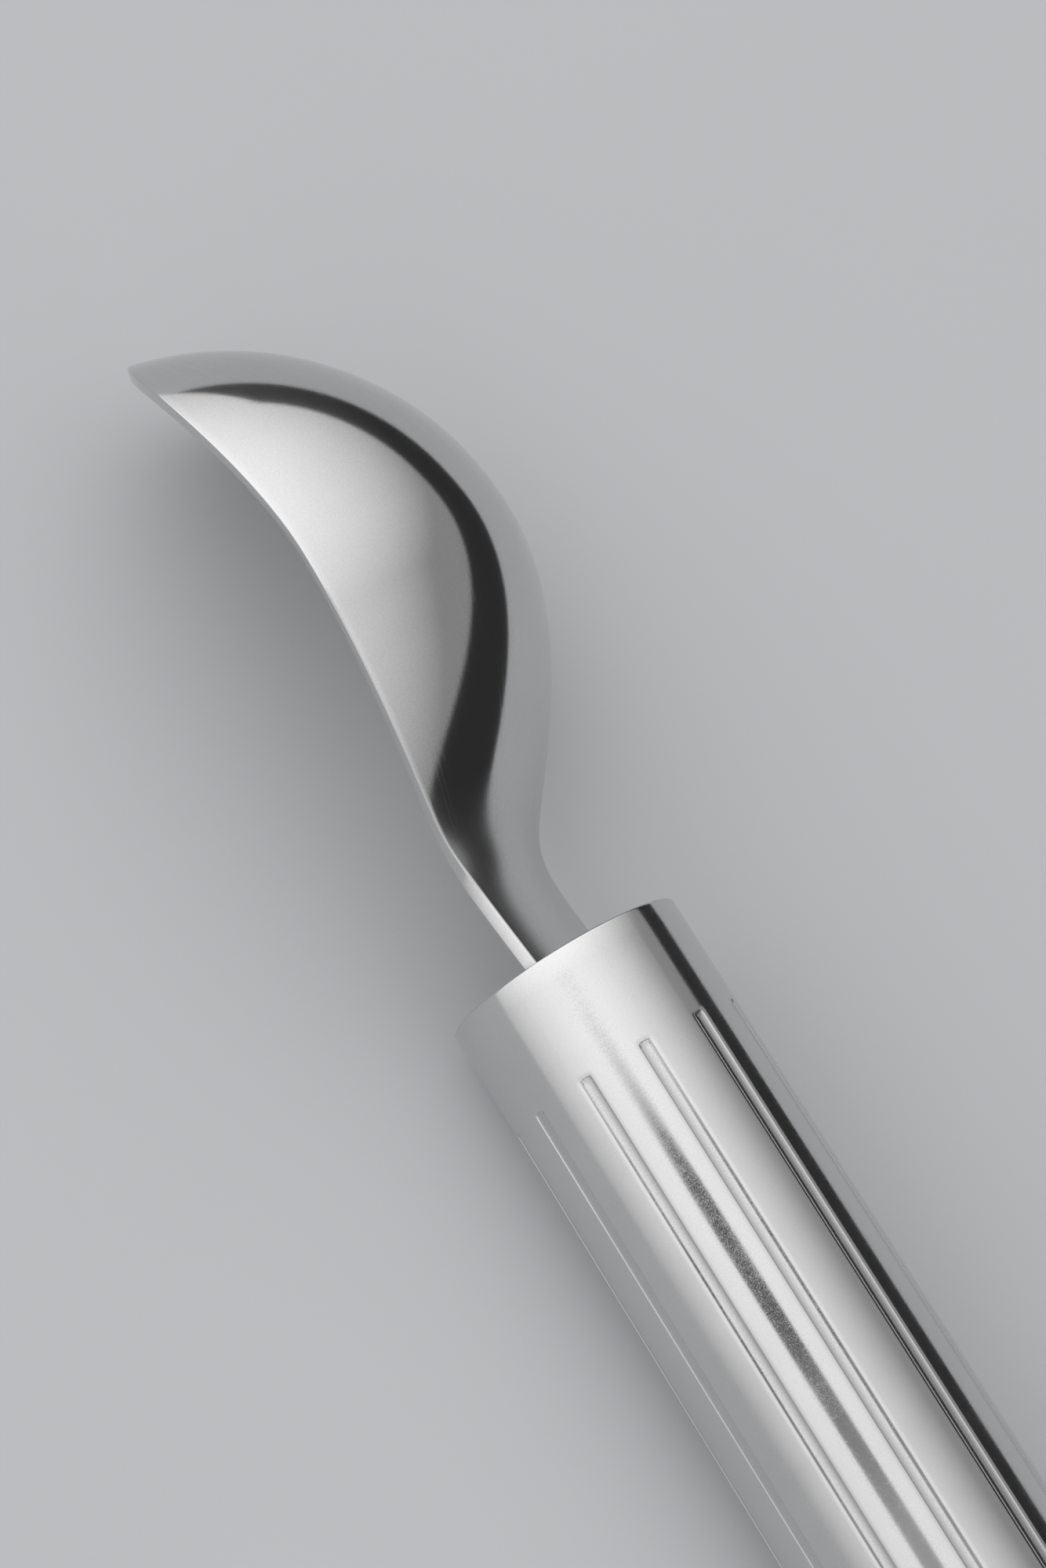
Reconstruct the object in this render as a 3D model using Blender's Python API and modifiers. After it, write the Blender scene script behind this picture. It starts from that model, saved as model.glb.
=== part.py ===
# Fixed ice cream scoop: a pressed steel bowl whose flat tang is clamped inside a grooved tube handle.
# Every piece is drawn upright: +Z runs along the handle towards the bowl, with Z = 0 at the tube's mouth,
# +Y is the side of the bowl's back and +X is sideways.
# One empty then lays the scoop down as it rests on a table.

import math

import bmesh
import bpy
from mathutils import Matrix

MM = 0.001

# Fits
FIT = 0.3 * MM                      # clearance between pieces that touch

# Handle tube
HANDLE_DIAMETER = 28.0 * MM
HANDLE_LENGTH = 110.0 * MM          # tube's mouth to the flat end of the cap
TUBE_WALL = 1.2 * MM
MOUTH_EDGE = 0.35 * MM              # edge break at the tube's mouth
GROOVE_COUNT = 12
GROOVE_WIDTH = 1.9 * MM
GROOVE_DEPTH = 0.25 * MM
COLLAR_LENGTH = 12.9 * MM           # plain band between each end of the handle and the grooves

# Pressed sheet: bowl, neck and tang
SHEET = 1.65 * MM
BOWL_REACH = 85.2 * MM              # tip of the bowl, ahead of the tube's mouth
BOWL_CENTRE = 48.4 * MM             # deepest and widest place, ahead of the tube's mouth
BOWL_HALF_WIDTH = 24.0 * MM
BOWL_DEPTH = 22.4 * MM              # back of the bowl, from the handle's axis
RIM_AT_SIDE = 7.5 * MM              # rim's place at the widest point, towards the back
RIM_AT_TIP = -4.2 * MM              # rim's place at the tip, towards the opening
RIM_SWEEP = 1.7                     # how late the rim drops towards the tip
RIM_FULLNESS = 2.3                  # how blunt the rim is at the tip, where 2 is an ellipse
TIP_ARC = math.radians(71.0)        # arc of the bowl's section at the tip
SIDE_ARC = math.radians(46.0)       # arc of the bowl's section at the widest place
NECK_ARC = math.radians(12.0)       # arc of the neck's section
SHOULDER_POWER = 0.55               # how full the bowl's shoulders are
SHOULDER_START = 13.7 * MM          # where the bowl rises from the neck
RIM_POWER = 0.49                    # how fast the rim rises from the neck
RIM_START = 15.9 * MM               # where the rim leaves the neck's edge
BEND = 0.1                          # softness of both bends, as a share of the rise
NECK_MARGIN = 1.3 * MM              # from the neck's cut edge to the tube's bore
NECK_CROWN = 2.0 * MM               # how far the neck bulges towards the back
NECK_EDGE = 1.3 * MM                # back face of the neck's edge at the tube's mouth, from the axis
NECK_PITCH = 0.11                   # fall of the neck towards the opening, per length
TANG_STEP = 3.0 * MM                # the tang is this much narrower than the neck on each side
TANG_FLAT = 18.0 * MM               # depth inside the tube at which the tang is flat
EDGE_BREAK = 0.3 * MM               # rounding along the cut edge of the sheet

# Pieces inside the handle
PLUG_SETBACK = 1.0 * MM
PLUG_THICKNESS = 5.0 * MM
CORE_GAP = 2.0 * MM                 # from where the tang is flat to the front of the tang blocks
CORE_LENGTH = 36.0 * MM
TANG_MARGIN = 2.0 * MM              # the tang stops short of the blocks' rear face
PIN_DIAMETER = 4.0 * MM
PIN_INSET = 9.0 * MM                # from each end of the blocks to the nearer pin
PIN_RECESS = 0.5 * MM               # pin ends lie below the round of the blocks
CAP_FLANGE = 3.0 * MM
CAP_SPIGOT = 8.0 * MM
CAP_ROUNDING = 1.0 * MM

# Edges
EDGE_SHARE = 0.35                   # an edge break takes at most this share of the thickness
EDGE_ANGLE = math.radians(60.0)     # edges of the sheet sharper than this are broken
SMOOTH_ANGLE = math.radians(35.0)

# Mesh fineness
TUBE_SIDES = 96
PLUG_SIDES = 64
PIN_SIDES = 32
GROOVE_SIDES = 32
ROUND_STEPS = 4
EDGE_STEPS = 2
FAN_SECTIONS = 12
SHOULDER_SECTIONS = 14
NECK_SECTIONS = 4
TANG_SECTIONS = 8
SECTION_STEPS = 10
MERGE = 0.01 * MM

# Sizes that follow from the ones above
TUBE_RADIUS = HANDLE_DIAMETER / 2
BORE_RADIUS = TUBE_RADIUS - TUBE_WALL
INNER_RADIUS = BORE_RADIUS - FIT
NECK_HALF_WIDTH = BORE_RADIUS - NECK_MARGIN
TANG_HALF_WIDTH = NECK_HALF_WIDTH - TANG_STEP
TANG_FACE = SHEET / 2
CORE_START = TANG_FLAT + CORE_GAP
CORE_END = CORE_START + CORE_LENGTH
TANG_END = CORE_END - TANG_MARGIN
PIN_HEIGHTS = [-CORE_START - PIN_INSET, -CORE_END + PIN_INSET]

# Surfaces
SATIN_STEEL = (0.62, 0.615, 0.60, 1.0)
PLAIN_STEEL = (0.55, 0.55, 0.54, 1.0)
PALE_PLASTIC = (0.72, 0.71, 0.68, 1.0)
SATIN = 0.28                        # roughness of each finish
GROUND = 0.35
TURNED = 0.4
MOULDED = 0.55


def clear_scene():
    for thing in list(bpy.data.objects):
        bpy.data.objects.remove(thing, do_unlink=True)


def new_collection(name):
    collection = bpy.data.collections.new(name)
    bpy.context.scene.collection.children.link(collection)
    return collection


def surface_material(name, colour, metallic, roughness):
    material = bpy.data.materials.new(name)
    material.use_nodes = True
    shader = material.node_tree.nodes["Principled BSDF"]
    shader.inputs["Base Color"].default_value = colour
    shader.inputs["Metallic"].default_value = metallic
    shader.inputs["Roughness"].default_value = roughness
    return material


def new_object(name, shape, collection, material=None):
    thing = bpy.data.objects.new(name, shape)
    collection.objects.link(thing)
    if material:
        shape.materials.append(material)
    return thing


def mark_cutter(thing):
    thing.hide_render = True
    thing.display_type = "WIRE"
    return thing


def smooth_shading(shape):
    shape.shade_smooth()
    shape.set_sharp_from_angle(angle=SMOOTH_ANGLE)


def rounded_corner(radius, height, size, start, turn):
    # Quarter circle of a turned profile, centred at radius, height
    angles = [start + turn * step / ROUND_STEPS for step in range(ROUND_STEPS + 1)]
    return [(radius + size * math.cos(angle), height + size * math.sin(angle)) for angle in angles]


def turned_object(name, profile, sides, collection, material=None, ring=False):
    # Profile points are radius, height, running down the outer side
    # A ring also has its bore in the profile
    points = [(radius, 0.0, height) for radius, height in profile]
    edges = [(index, index + 1) for index in range(len(points) - 1)]
    if ring:
        edges.append((len(points) - 1, 0))
    shape = bpy.data.meshes.new(name)
    shape.from_pydata(points, edges, [])
    thing = new_object(name, shape, collection, material)
    screw = thing.modifiers.new("turn", "SCREW")
    screw.steps = sides
    screw.render_steps = sides
    screw.use_merge_vertices = True
    screw.merge_threshold = MERGE
    return thing


def cut(thing, cutter):
    boolean = thing.modifiers.new("cut_" + cutter.name, "BOOLEAN")
    boolean.operation = "DIFFERENCE"
    boolean.solver = "EXACT"
    boolean.object = cutter


def ease(share):
    share = min(max(share, 0.0), 1.0)
    return share * share * (3.0 - 2.0 * share)


def fan_section(turn):
    # Section of the bowl's front half, from the deepest place out to the rim
    # The turn is 0 at the tip and a quarter turn at the side
    along = math.cos(turn) ** (2.0 / RIM_FULLNESS)
    return {
        "foot": BOWL_CENTRE,
        "rim_side": BOWL_HALF_WIDTH * math.sin(turn) ** (2.0 / RIM_FULLNESS),
        "rim_ahead": BOWL_CENTRE + (BOWL_REACH - BOWL_CENTRE) * along,
        "spine": BOWL_DEPTH,
        "rim": RIM_AT_SIDE - (RIM_AT_SIDE - RIM_AT_TIP) * along ** RIM_SWEEP,
        "arc": SIDE_ARC + (TIP_ARC - SIDE_ARC) * math.cos(turn) ** 2,
    }


def soft_rise(ahead, start, power):
    # From 0 on the neck to 1 at the bowl's widest place, with a soft bend at the start
    share = (ahead - start) / (BOWL_CENTRE - start)
    return ease(((share + math.hypot(share, BEND)) / 2) ** power)


def neck_section(ahead):
    # Section square to the handle, from the bowl's widest place back to the tube's mouth
    rise = soft_rise(ahead, SHOULDER_START, SHOULDER_POWER)
    rim_rise = soft_rise(ahead, RIM_START, RIM_POWER)
    edge = NECK_EDGE - NECK_PITCH * ahead
    crown = edge + NECK_CROWN
    return {
        "foot": ahead,
        "rim_side": NECK_HALF_WIDTH + (BOWL_HALF_WIDTH - NECK_HALF_WIDTH) * rise,
        "rim_ahead": ahead,
        "spine": crown + (BOWL_DEPTH - crown) * rise,
        "rim": edge + (RIM_AT_SIDE - edge) * rim_rise,
        "arc": NECK_ARC + (SIDE_ARC - NECK_ARC) * rise,
    }


def tang_section(depth):
    # Section inside the tube, where the neck flattens into the tang
    flat = ease(depth / TANG_FLAT)
    slope = NECK_EDGE + NECK_PITCH * depth
    edge = slope + (TANG_FACE - slope) * flat
    return {
        "foot": -depth,
        "rim_side": NECK_HALF_WIDTH + (TANG_HALF_WIDTH - NECK_HALF_WIDTH) * flat,
        "rim_ahead": -depth,
        "spine": edge + NECK_CROWN * (1.0 - flat),
        "rim": edge,
        "arc": NECK_ARC,
    }


def section_point(section, share):
    # Point on the sheet's back face: share 0 on the middle line, 1 on the cut edge
    angle = section["arc"] * share
    out = math.sin(angle) / math.sin(section["arc"])
    drop = (1.0 - math.cos(angle)) / (1.0 - math.cos(section["arc"]))
    return (
        section["rim_side"] * out,
        section["spine"] - (section["spine"] - section["rim"]) * drop,
        section["foot"] + (section["rim_ahead"] - section["foot"]) * out,
    )


def sheet_sections():
    fan_step = math.pi / 2 / FAN_SECTIONS
    shoulder_step = (BOWL_CENTRE - SHOULDER_START) / SHOULDER_SECTIONS
    neck_step = SHOULDER_START / NECK_SECTIONS
    fan = [fan_section(fan_step * index) for index in range(FAN_SECTIONS + 1)]
    shoulder = [neck_section(BOWL_CENTRE - shoulder_step * index) for index in range(1, SHOULDER_SECTIONS)]
    neck = [neck_section(SHOULDER_START - neck_step * index) for index in range(NECK_SECTIONS)]
    return fan + shoulder + neck + tang_sections(0.0, TANG_END)


def tang_sections(start, end):
    step = (end - start) / TANG_SECTIONS
    return [tang_section(start + step * index) for index in range(TANG_SECTIONS + 1)]


def sheet_object(name, sections, clearance, collection, material=None):
    # Half of the sheet's back face, mirrored and thickened towards the opening
    mesh = bmesh.new()
    bmesh.ops.create_grid(mesh, x_segments=len(sections) - 1, y_segments=SECTION_STEPS, size=1.0)
    for vertex in mesh.verts:
        section = sections[round((vertex.co.x + 1.0) / 2.0 * (len(sections) - 1))]
        share = (vertex.co.y + 1.0) / 2.0
        overhang = 1.0 + clearance / section["rim_side"] if clearance else 1.0
        vertex.co = section_point(section, share * overhang)
    bmesh.ops.remove_doubles(mesh, verts=mesh.verts, dist=MERGE)
    bmesh.ops.reverse_faces(mesh, faces=mesh.faces)
    shape = bpy.data.meshes.new(name)
    mesh.to_mesh(shape)
    mesh.free()
    thing = new_object(name, shape, collection, material)
    mirror = thing.modifiers.new("other_half", "MIRROR")
    mirror.merge_threshold = MERGE
    mirror.use_clip = True
    thickness = SHEET + 2.0 * clearance
    shell = thing.modifiers.new("sheet", "SOLIDIFY")
    shell.thickness = thickness
    shell.offset = 2.0 * clearance / thickness - 1.0
    shell.use_even_offset = True
    return thing


def make_bowl(collection, cutters, steel):
    bowl = sheet_object("scoop_bowl", sheet_sections(), 0.0, collection, steel)
    smooth_shading(bowl.data)
    edge_break = bowl.modifiers.new("edge_break", "BEVEL")
    edge_break.width = min(EDGE_BREAK, EDGE_SHARE * SHEET)
    edge_break.segments = EDGE_STEPS
    edge_break.limit_method = "ANGLE"
    edge_break.angle_limit = EDGE_ANGLE
    for cutter in cutters:
        cut(bowl, cutter)
    return bowl


def make_groove_cutters(collection):
    # Round-ended rods, whose part inside the tube's wall is the groove
    radius = (GROOVE_WIDTH ** 2 / 4 + GROOVE_DEPTH ** 2) / (2 * GROOVE_DEPTH)
    top = -COLLAR_LENGTH - GROOVE_WIDTH / 2
    bottom = -(HANDLE_LENGTH - COLLAR_LENGTH) + GROOVE_WIDTH / 2
    profile = rounded_corner(0.0, top, radius, math.pi / 2, -math.pi / 2)
    profile += rounded_corner(0.0, bottom, radius, 0.0, -math.pi / 2)
    place = TUBE_RADIUS - GROOVE_DEPTH + radius
    for index in range(GROOVE_COUNT):
        angle = 2.0 * math.pi * index / GROOVE_COUNT
        rod = mark_cutter(turned_object("groove_rod", profile, GROOVE_SIDES, collection))
        rod.location = (place * math.cos(angle), place * math.sin(angle), 0.0)
        rod.rotation_euler.z = angle


def make_tube(collection, grooves, steel):
    rear = -(HANDLE_LENGTH - CAP_FLANGE - FIT)
    edge = min(MOUTH_EDGE, EDGE_SHARE * TUBE_WALL)
    profile = [
        (TUBE_RADIUS - edge, 0.0),
        (TUBE_RADIUS, -edge),
        (TUBE_RADIUS, rear),
        (BORE_RADIUS, rear),
        (BORE_RADIUS, -edge),
        (BORE_RADIUS + edge, 0.0),
    ]
    tube = turned_object("handle_tube", profile, TUBE_SIDES, collection, steel, ring=True)
    smooth_shading(tube.data)
    boolean = tube.modifiers.new("grooves", "BOOLEAN")
    boolean.operation = "DIFFERENCE"
    boolean.solver = "EXACT"
    boolean.operand_type = "COLLECTION"
    boolean.collection = grooves
    return tube


def make_front_plug(collection, cutters, steel):
    back = -PLUG_SETBACK - PLUG_THICKNESS
    profile = [(0.0, -PLUG_SETBACK), (INNER_RADIUS, -PLUG_SETBACK), (INNER_RADIUS, back), (0.0, back)]
    plug = turned_object("front_plug", profile, PLUG_SIDES, collection, steel)
    slot_sections = tang_sections(0.0, TANG_FLAT)
    cut(plug, mark_cutter(sheet_object("neck_slot", slot_sections, FIT, cutters)))
    return plug


def make_core_half(name, side, collection, cutters, pin_cutters, plastic):
    # Half-round block on one side of the tang: side 1 lies towards the back, -1 towards the opening
    profile = [(0.0, -CORE_START), (INNER_RADIUS, -CORE_START), (INNER_RADIUS, -CORE_END), (0.0, -CORE_END)]
    block = turned_object(name, profile, PLUG_SIDES, collection, plastic)
    width = 2.0 * (HANDLE_DIAMETER + CORE_LENGTH)
    bpy.ops.mesh.primitive_cube_add(size=1.0)
    saw = bpy.context.object
    saw.name = name + "_saw"
    saw.data.transform(Matrix.Diagonal((width, width, width, 1.0)))
    saw.location = (0.0, side * (TANG_FACE + FIT - width / 2), -(CORE_START + CORE_END) / 2)
    bpy.context.collection.objects.unlink(saw)
    cutters.objects.link(mark_cutter(saw))
    for cutter in [saw] + pin_cutters:
        cut(block, cutter)
    return block


def make_pin(name, height, radius, half_length, collection, material=None):
    mesh = bmesh.new()
    bmesh.ops.create_cone(
        mesh,
        cap_ends=True,
        segments=PIN_SIDES,
        radius1=radius,
        radius2=radius,
        depth=2.0 * half_length,
    )
    shape = bpy.data.meshes.new(name)
    mesh.to_mesh(shape)
    mesh.free()
    pin = new_object(name, shape, collection, material)
    pin.location = (0.0, 0.0, height)
    pin.rotation_euler.x = math.pi / 2
    smooth_shading(shape)
    return pin


def make_end_cap(collection, steel):
    end = -HANDLE_LENGTH
    flange = end + CAP_FLANGE
    rounding = min(CAP_ROUNDING, EDGE_SHARE * CAP_FLANGE)
    corner = rounded_corner(TUBE_RADIUS - rounding, end + rounding, rounding, 0.0, -math.pi / 2)
    profile = [(0.0, flange + CAP_SPIGOT), (INNER_RADIUS, flange + CAP_SPIGOT), (INNER_RADIUS, flange)]
    profile += [(TUBE_RADIUS, flange)] + corner + [(0.0, end)]
    cap = turned_object("end_cap", profile, PLUG_SIDES, collection, steel)
    smooth_shading(cap.data)
    return cap


def world_points(thing):
    evaluated = thing.evaluated_get(bpy.context.evaluated_depsgraph_get())
    return [evaluated.matrix_world @ vertex.co for vertex in evaluated.data.vertices]


def resting_roll(bowl):
    # Turn about the handle's axis at which the rim of the bowl meets the table that the handle lies on
    lie = 0.0
    for point in world_points(bowl):
        reach = math.hypot(point.x, point.y)
        if reach > TUBE_RADIUS:
            lie = max(lie, math.atan2(abs(point.x), point.y) + math.acos(TUBE_RADIUS / reach))
    return math.pi / 2 - lie


def lay_on_table(pieces, bowl):
    # Handle along X, bowl at -X, lowest point at Z = 0 and the bounding box centred on the origin
    rest = bpy.data.objects.new("resting_place", None)
    bpy.context.scene.collection.objects.link(rest)
    turn = Matrix.Rotation(-math.pi / 2, 4, "Y") @ Matrix.Rotation(resting_roll(bowl), 4, "Z")
    for thing in bpy.data.objects:
        if thing != rest:
            thing.parent = rest
    rest.matrix_world = turn
    bpy.context.view_layer.update()
    points = [point for piece in pieces for point in world_points(piece)]
    lows = [min(point[axis] for point in points) for axis in range(3)]
    highs = [max(point[axis] for point in points) for axis in range(3)]
    middle = ((lows[0] + highs[0]) / 2, (lows[1] + highs[1]) / 2, lows[2])
    rest.matrix_world = Matrix.Translation([-value for value in middle]) @ turn


def main():
    clear_scene()
    scoop = new_collection("ice_cream_scoop")
    cutters = new_collection("cutters")
    grooves = new_collection("groove_cutters")
    bowl_steel = surface_material("bowl_steel", SATIN_STEEL, 1.0, SATIN)
    handle_steel = surface_material("handle_steel", SATIN_STEEL, 1.0, SATIN)
    plug_steel = surface_material("plug_steel", PLAIN_STEEL, 1.0, TURNED)
    pin_steel = surface_material("pin_steel", PLAIN_STEEL, 1.0, GROUND)
    plastic = surface_material("core_plastic", PALE_PLASTIC, 0.0, MOULDED)

    pin_radius = PIN_DIAMETER / 2
    pin_cutters = []
    for number, height in enumerate(PIN_HEIGHTS, 1):
        hole = make_pin(f"pin_hole_{number}", height, pin_radius + FIT, HANDLE_DIAMETER, cutters)
        pin_cutters.append(mark_cutter(hole))

    bowl = make_bowl(scoop, pin_cutters, bowl_steel)
    make_groove_cutters(grooves)
    pieces = [
        bowl,
        make_tube(scoop, grooves, handle_steel),
        make_front_plug(scoop, cutters, plug_steel),
        make_core_half("tang_core_back", 1, scoop, cutters, pin_cutters, plastic),
        make_core_half("tang_core_front", -1, scoop, cutters, pin_cutters, plastic),
        make_end_cap(scoop, handle_steel),
    ]
    for number, height in enumerate(PIN_HEIGHTS, 1):
        half_length = INNER_RADIUS - PIN_RECESS
        pieces.append(make_pin(f"tang_pin_{number}", height, pin_radius, half_length, scoop, pin_steel))

    bpy.context.view_layer.update()
    lay_on_table(pieces, bowl)


main()
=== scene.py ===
import math

import bpy
from mathutils import Matrix


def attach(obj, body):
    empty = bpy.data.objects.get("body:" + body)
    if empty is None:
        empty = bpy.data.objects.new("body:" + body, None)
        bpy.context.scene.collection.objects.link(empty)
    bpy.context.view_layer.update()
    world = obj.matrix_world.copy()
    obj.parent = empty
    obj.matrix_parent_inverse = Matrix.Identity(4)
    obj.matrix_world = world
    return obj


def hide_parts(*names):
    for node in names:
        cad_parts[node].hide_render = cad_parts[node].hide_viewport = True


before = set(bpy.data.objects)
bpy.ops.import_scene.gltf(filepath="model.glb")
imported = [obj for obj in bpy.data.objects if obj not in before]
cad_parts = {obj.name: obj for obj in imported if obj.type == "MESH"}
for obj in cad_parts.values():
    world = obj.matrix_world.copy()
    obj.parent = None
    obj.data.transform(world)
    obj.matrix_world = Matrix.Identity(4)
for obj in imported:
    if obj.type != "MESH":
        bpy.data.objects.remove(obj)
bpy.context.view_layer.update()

mm = 0.001
weldGap = 0.001 * mm

# The scoop is modelled upright, in millimetres from the middle of the tube's mouth:
# Z towards the bowl, Y towards the bowl's back. layDown then puts it on the table.
lying = {
    "mouth": (-12.459 * mm, -4.43 * mm, 14.0 * mm),
    "roll": math.radians(-40.2825),
}


def deselectAll():
    bpy.ops.object.select_all(action="DESELECT")


def pickVertices(piece, test):
    # leaves edit mode on, with only the vertices that pass the test selected
    if piece.mode == "EDIT":
        bpy.ops.object.mode_set(mode="OBJECT")
    for part in (piece.data.polygons, piece.data.edges):
        part.foreach_set("select", [False] * len(part))
    for vertex in piece.data.vertices:
        vertex.select = test(vertex.co / mm)
    bpy.ops.object.mode_set(mode="EDIT")


def wholeMesh(piece):
    if piece.mode != "EDIT":
        bpy.ops.object.mode_set(mode="EDIT")
    bpy.ops.mesh.select_all(action="SELECT")


def applyAll(piece):
    for modifier in list(piece.modifiers):
        bpy.ops.object.modifier_apply(modifier=modifier.name)


def layDown(piece):
    turn = Matrix.Rotation(-math.pi / 2, 4, "Y") @ Matrix.Rotation(lying["roll"], 4, "Z")
    piece.matrix_world = Matrix.Translation(lying["mouth"]) @ turn
    bpy.ops.object.transform_apply(location=True, rotation=True, scale=True)


def ringStep(grow, rise):
    # one more ring round the Z axis, from the ring or disc that is selected
    bpy.ops.mesh.extrude_region_move(TRANSFORM_OT_translate={"value": (0.0, 0.0, rise * mm)})
    bpy.ops.transform.resize(value=(grow, grow, 1.0), center_override=(0.0, 0.0, 0.0))


def ease(share):
    share = min(max(share, 0.0), 1.0)
    return share * share * (3.0 - 2.0 * share)


def spread(start, end, count):
    return [start + (end - start) * step / count for step in range(count + 1)]


# Pressed bowl with its neck and tang
bowl = {
    "sheet": 1.65,
    "reach": 85.2,           # tip, ahead of the tube
    "centre": 48.4,          # deepest and widest place
    "halfWidth": 24.0,
    "depth": 22.4,
    "rimAtSide": 7.5,
    "rimAtTip": -4.2,
    "rimSweep": 1.7,
    "rimFullness": 2.3,      # 2 is an ellipse
    "tipArc": math.radians(71.0),
    "sideArc": math.radians(46.0),
    "neckArc": math.radians(12.0),
    "shoulderPower": 0.55,
    "shoulderStart": 13.7,
    "rimPower": 0.49,
    "rimStart": 15.9,
    "bend": 0.1,             # softness of the bends between neck and bowl
    "neckHalfWidth": 11.5,
    "neckCrown": 2.0,
    "neckEdge": 1.3,
    "neckPitch": 0.11,
    "tangHalfWidth": 8.5,
    "tangFlat": 18.0,
    "tangEnd": 54.0,
    "edgeRound": 0.4,
    "tipRound": 0.9,         # the outer edge is rounder at the tip,
    "tipAlong": 6.0,         # over this length
    "edgeTurn": math.radians(60.0),   # edges sharper than this are rounded,
    "edgeSteps": 4,                   # in this many steps
    "edgeSquare": 0.55,      # the neck's cut edges stand this much squarer at the tube,
    "squareLoss": 0.45,      # lose this share of it along the neck
    "squareFade": 2.4,       # and the rest over this length before the bowl
    "squareInto": 0.5,       # they start this far inside the tube
    "innerBelow": 0.8,       # their inner line lies further than this below the rim,
    "innerBeside": 0.75,     # and within this of its side
    "pinHoles": (-29.0, -47.0),
    "pinHoleRadius": 2.3,
    "drillLength": 20.0,
    "drillSides": 48,
    "fanSections": 44,
    "shoulderSections": 56,
    "neckSections": 14,
    "tangSections": 24,
    "acrossSteps": 34,
    "leastShare": 0.0001,    # keeps the polish map finite at the tip
    "smoothTurn": math.radians(35.0),
}


def fanSection(turn):
    power = 2.0 / bowl["rimFullness"]
    along = math.cos(turn) ** power
    sweep = (bowl["rimAtSide"] - bowl["rimAtTip"]) * along ** bowl["rimSweep"]
    return {
        "foot": bowl["centre"],
        "rimSide": bowl["halfWidth"] * math.sin(turn) ** power,
        "rimAhead": bowl["centre"] + (bowl["reach"] - bowl["centre"]) * along,
        "spine": bowl["depth"],
        "rim": bowl["rimAtSide"] - sweep,
        "arc": bowl["sideArc"] + (bowl["tipArc"] - bowl["sideArc"]) * math.cos(turn) ** 2,
    }


def softRise(ahead, start, power):
    share = (ahead - start) / (bowl["centre"] - start)
    return ease(((share + math.hypot(share, bowl["bend"])) / 2) ** power)


def neckSection(ahead):
    rise = softRise(ahead, bowl["shoulderStart"], bowl["shoulderPower"])
    rimRise = softRise(ahead, bowl["rimStart"], bowl["rimPower"])
    edge = bowl["neckEdge"] - bowl["neckPitch"] * ahead
    crown = edge + bowl["neckCrown"]
    return {
        "foot": ahead,
        "rimSide": bowl["neckHalfWidth"] + (bowl["halfWidth"] - bowl["neckHalfWidth"]) * rise,
        "rimAhead": ahead,
        "spine": crown + (bowl["depth"] - crown) * rise,
        "rim": edge + (bowl["rimAtSide"] - edge) * rimRise,
        "arc": bowl["neckArc"] + (bowl["sideArc"] - bowl["neckArc"]) * rise,
    }


def tangSection(into):
    flat = ease(into / bowl["tangFlat"])
    slope = bowl["neckEdge"] + bowl["neckPitch"] * into
    edge = slope + (bowl["sheet"] / 2 - slope) * flat
    return {
        "foot": -into,
        "rimSide": bowl["neckHalfWidth"] + (bowl["tangHalfWidth"] - bowl["neckHalfWidth"]) * flat,
        "rimAhead": -into,
        "spine": edge + bowl["neckCrown"] * (1.0 - flat),
        "rim": edge,
        "arc": bowl["neckArc"],
    }


def bowlSections():
    # a fan round the bowl's front half, then back along the neck to the tang's end
    start = bowl["shoulderStart"]
    turns = spread(0.0, math.pi / 2, bowl["fanSections"])
    places = spread(bowl["centre"], start, bowl["shoulderSections"])[1:]
    places += spread(start, 0.0, bowl["neckSections"])[1:]
    depths = spread(0.0, bowl["tangEnd"], bowl["tangSections"])[1:]
    sections = [fanSection(turn) for turn in turns]
    sections += [neckSection(ahead) for ahead in places]
    return sections + [tangSection(into) for into in depths]


def sheetPoint(section, share):
    angle = section["arc"] * share
    out = math.sin(angle) / math.sin(section["arc"])
    drop = (1.0 - math.cos(angle)) / (1.0 - math.cos(section["arc"]))
    return (
        section["rimSide"] * out * mm,
        (section["spine"] - (section["spine"] - section["rim"]) * drop) * mm,
        (section["foot"] + (section["rimAhead"] - section["foot"]) * out) * mm,
    )


def halfWidth(ahead):
    # of the rim, at a distance ahead of the tube
    past = (ahead - bowl["centre"]) / (bowl["reach"] - bowl["centre"])
    if past > 0.0:
        fullness = bowl["rimFullness"]
        share = max(1.0 - past ** fullness, bowl["leastShare"])
        return bowl["halfWidth"] * share ** (1.0 / fullness)
    return neckSection(max(ahead, 0.0))["rimSide"]


def mapPolish(piece):
    # the UV map runs along the scoop and across it, for the polishing lines
    polish = piece.data.uv_layers.active.data
    for loop in piece.data.loops:
        place = piece.data.vertices[loop.vertex_index].co / mm
        polish[loop.index].uv = (place.z / bowl["reach"], place.x / halfWidth(place.z))


def squareNeck(piece):
    # the inner line of the neck's cut edges moves out, from the tube to the bowl
    for vertex in piece.data.vertices:
        place = vertex.co / mm
        if -bowl["squareInto"] < place.z < bowl["rimStart"]:
            section = neckSection(place.z)
            isBelow = place.y < section["rim"] - bowl["innerBelow"]
            if isBelow and abs(place.x) > section["rimSide"] - bowl["innerBeside"]:
                share = 1.0 - bowl["squareLoss"] * max(place.z / bowl["rimStart"], 0.0)
                share *= ease((bowl["rimStart"] - place.z) / bowl["squareFade"])
                vertex.co.x += math.copysign(bowl["edgeSquare"] * share * mm, vertex.co.x)


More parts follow.
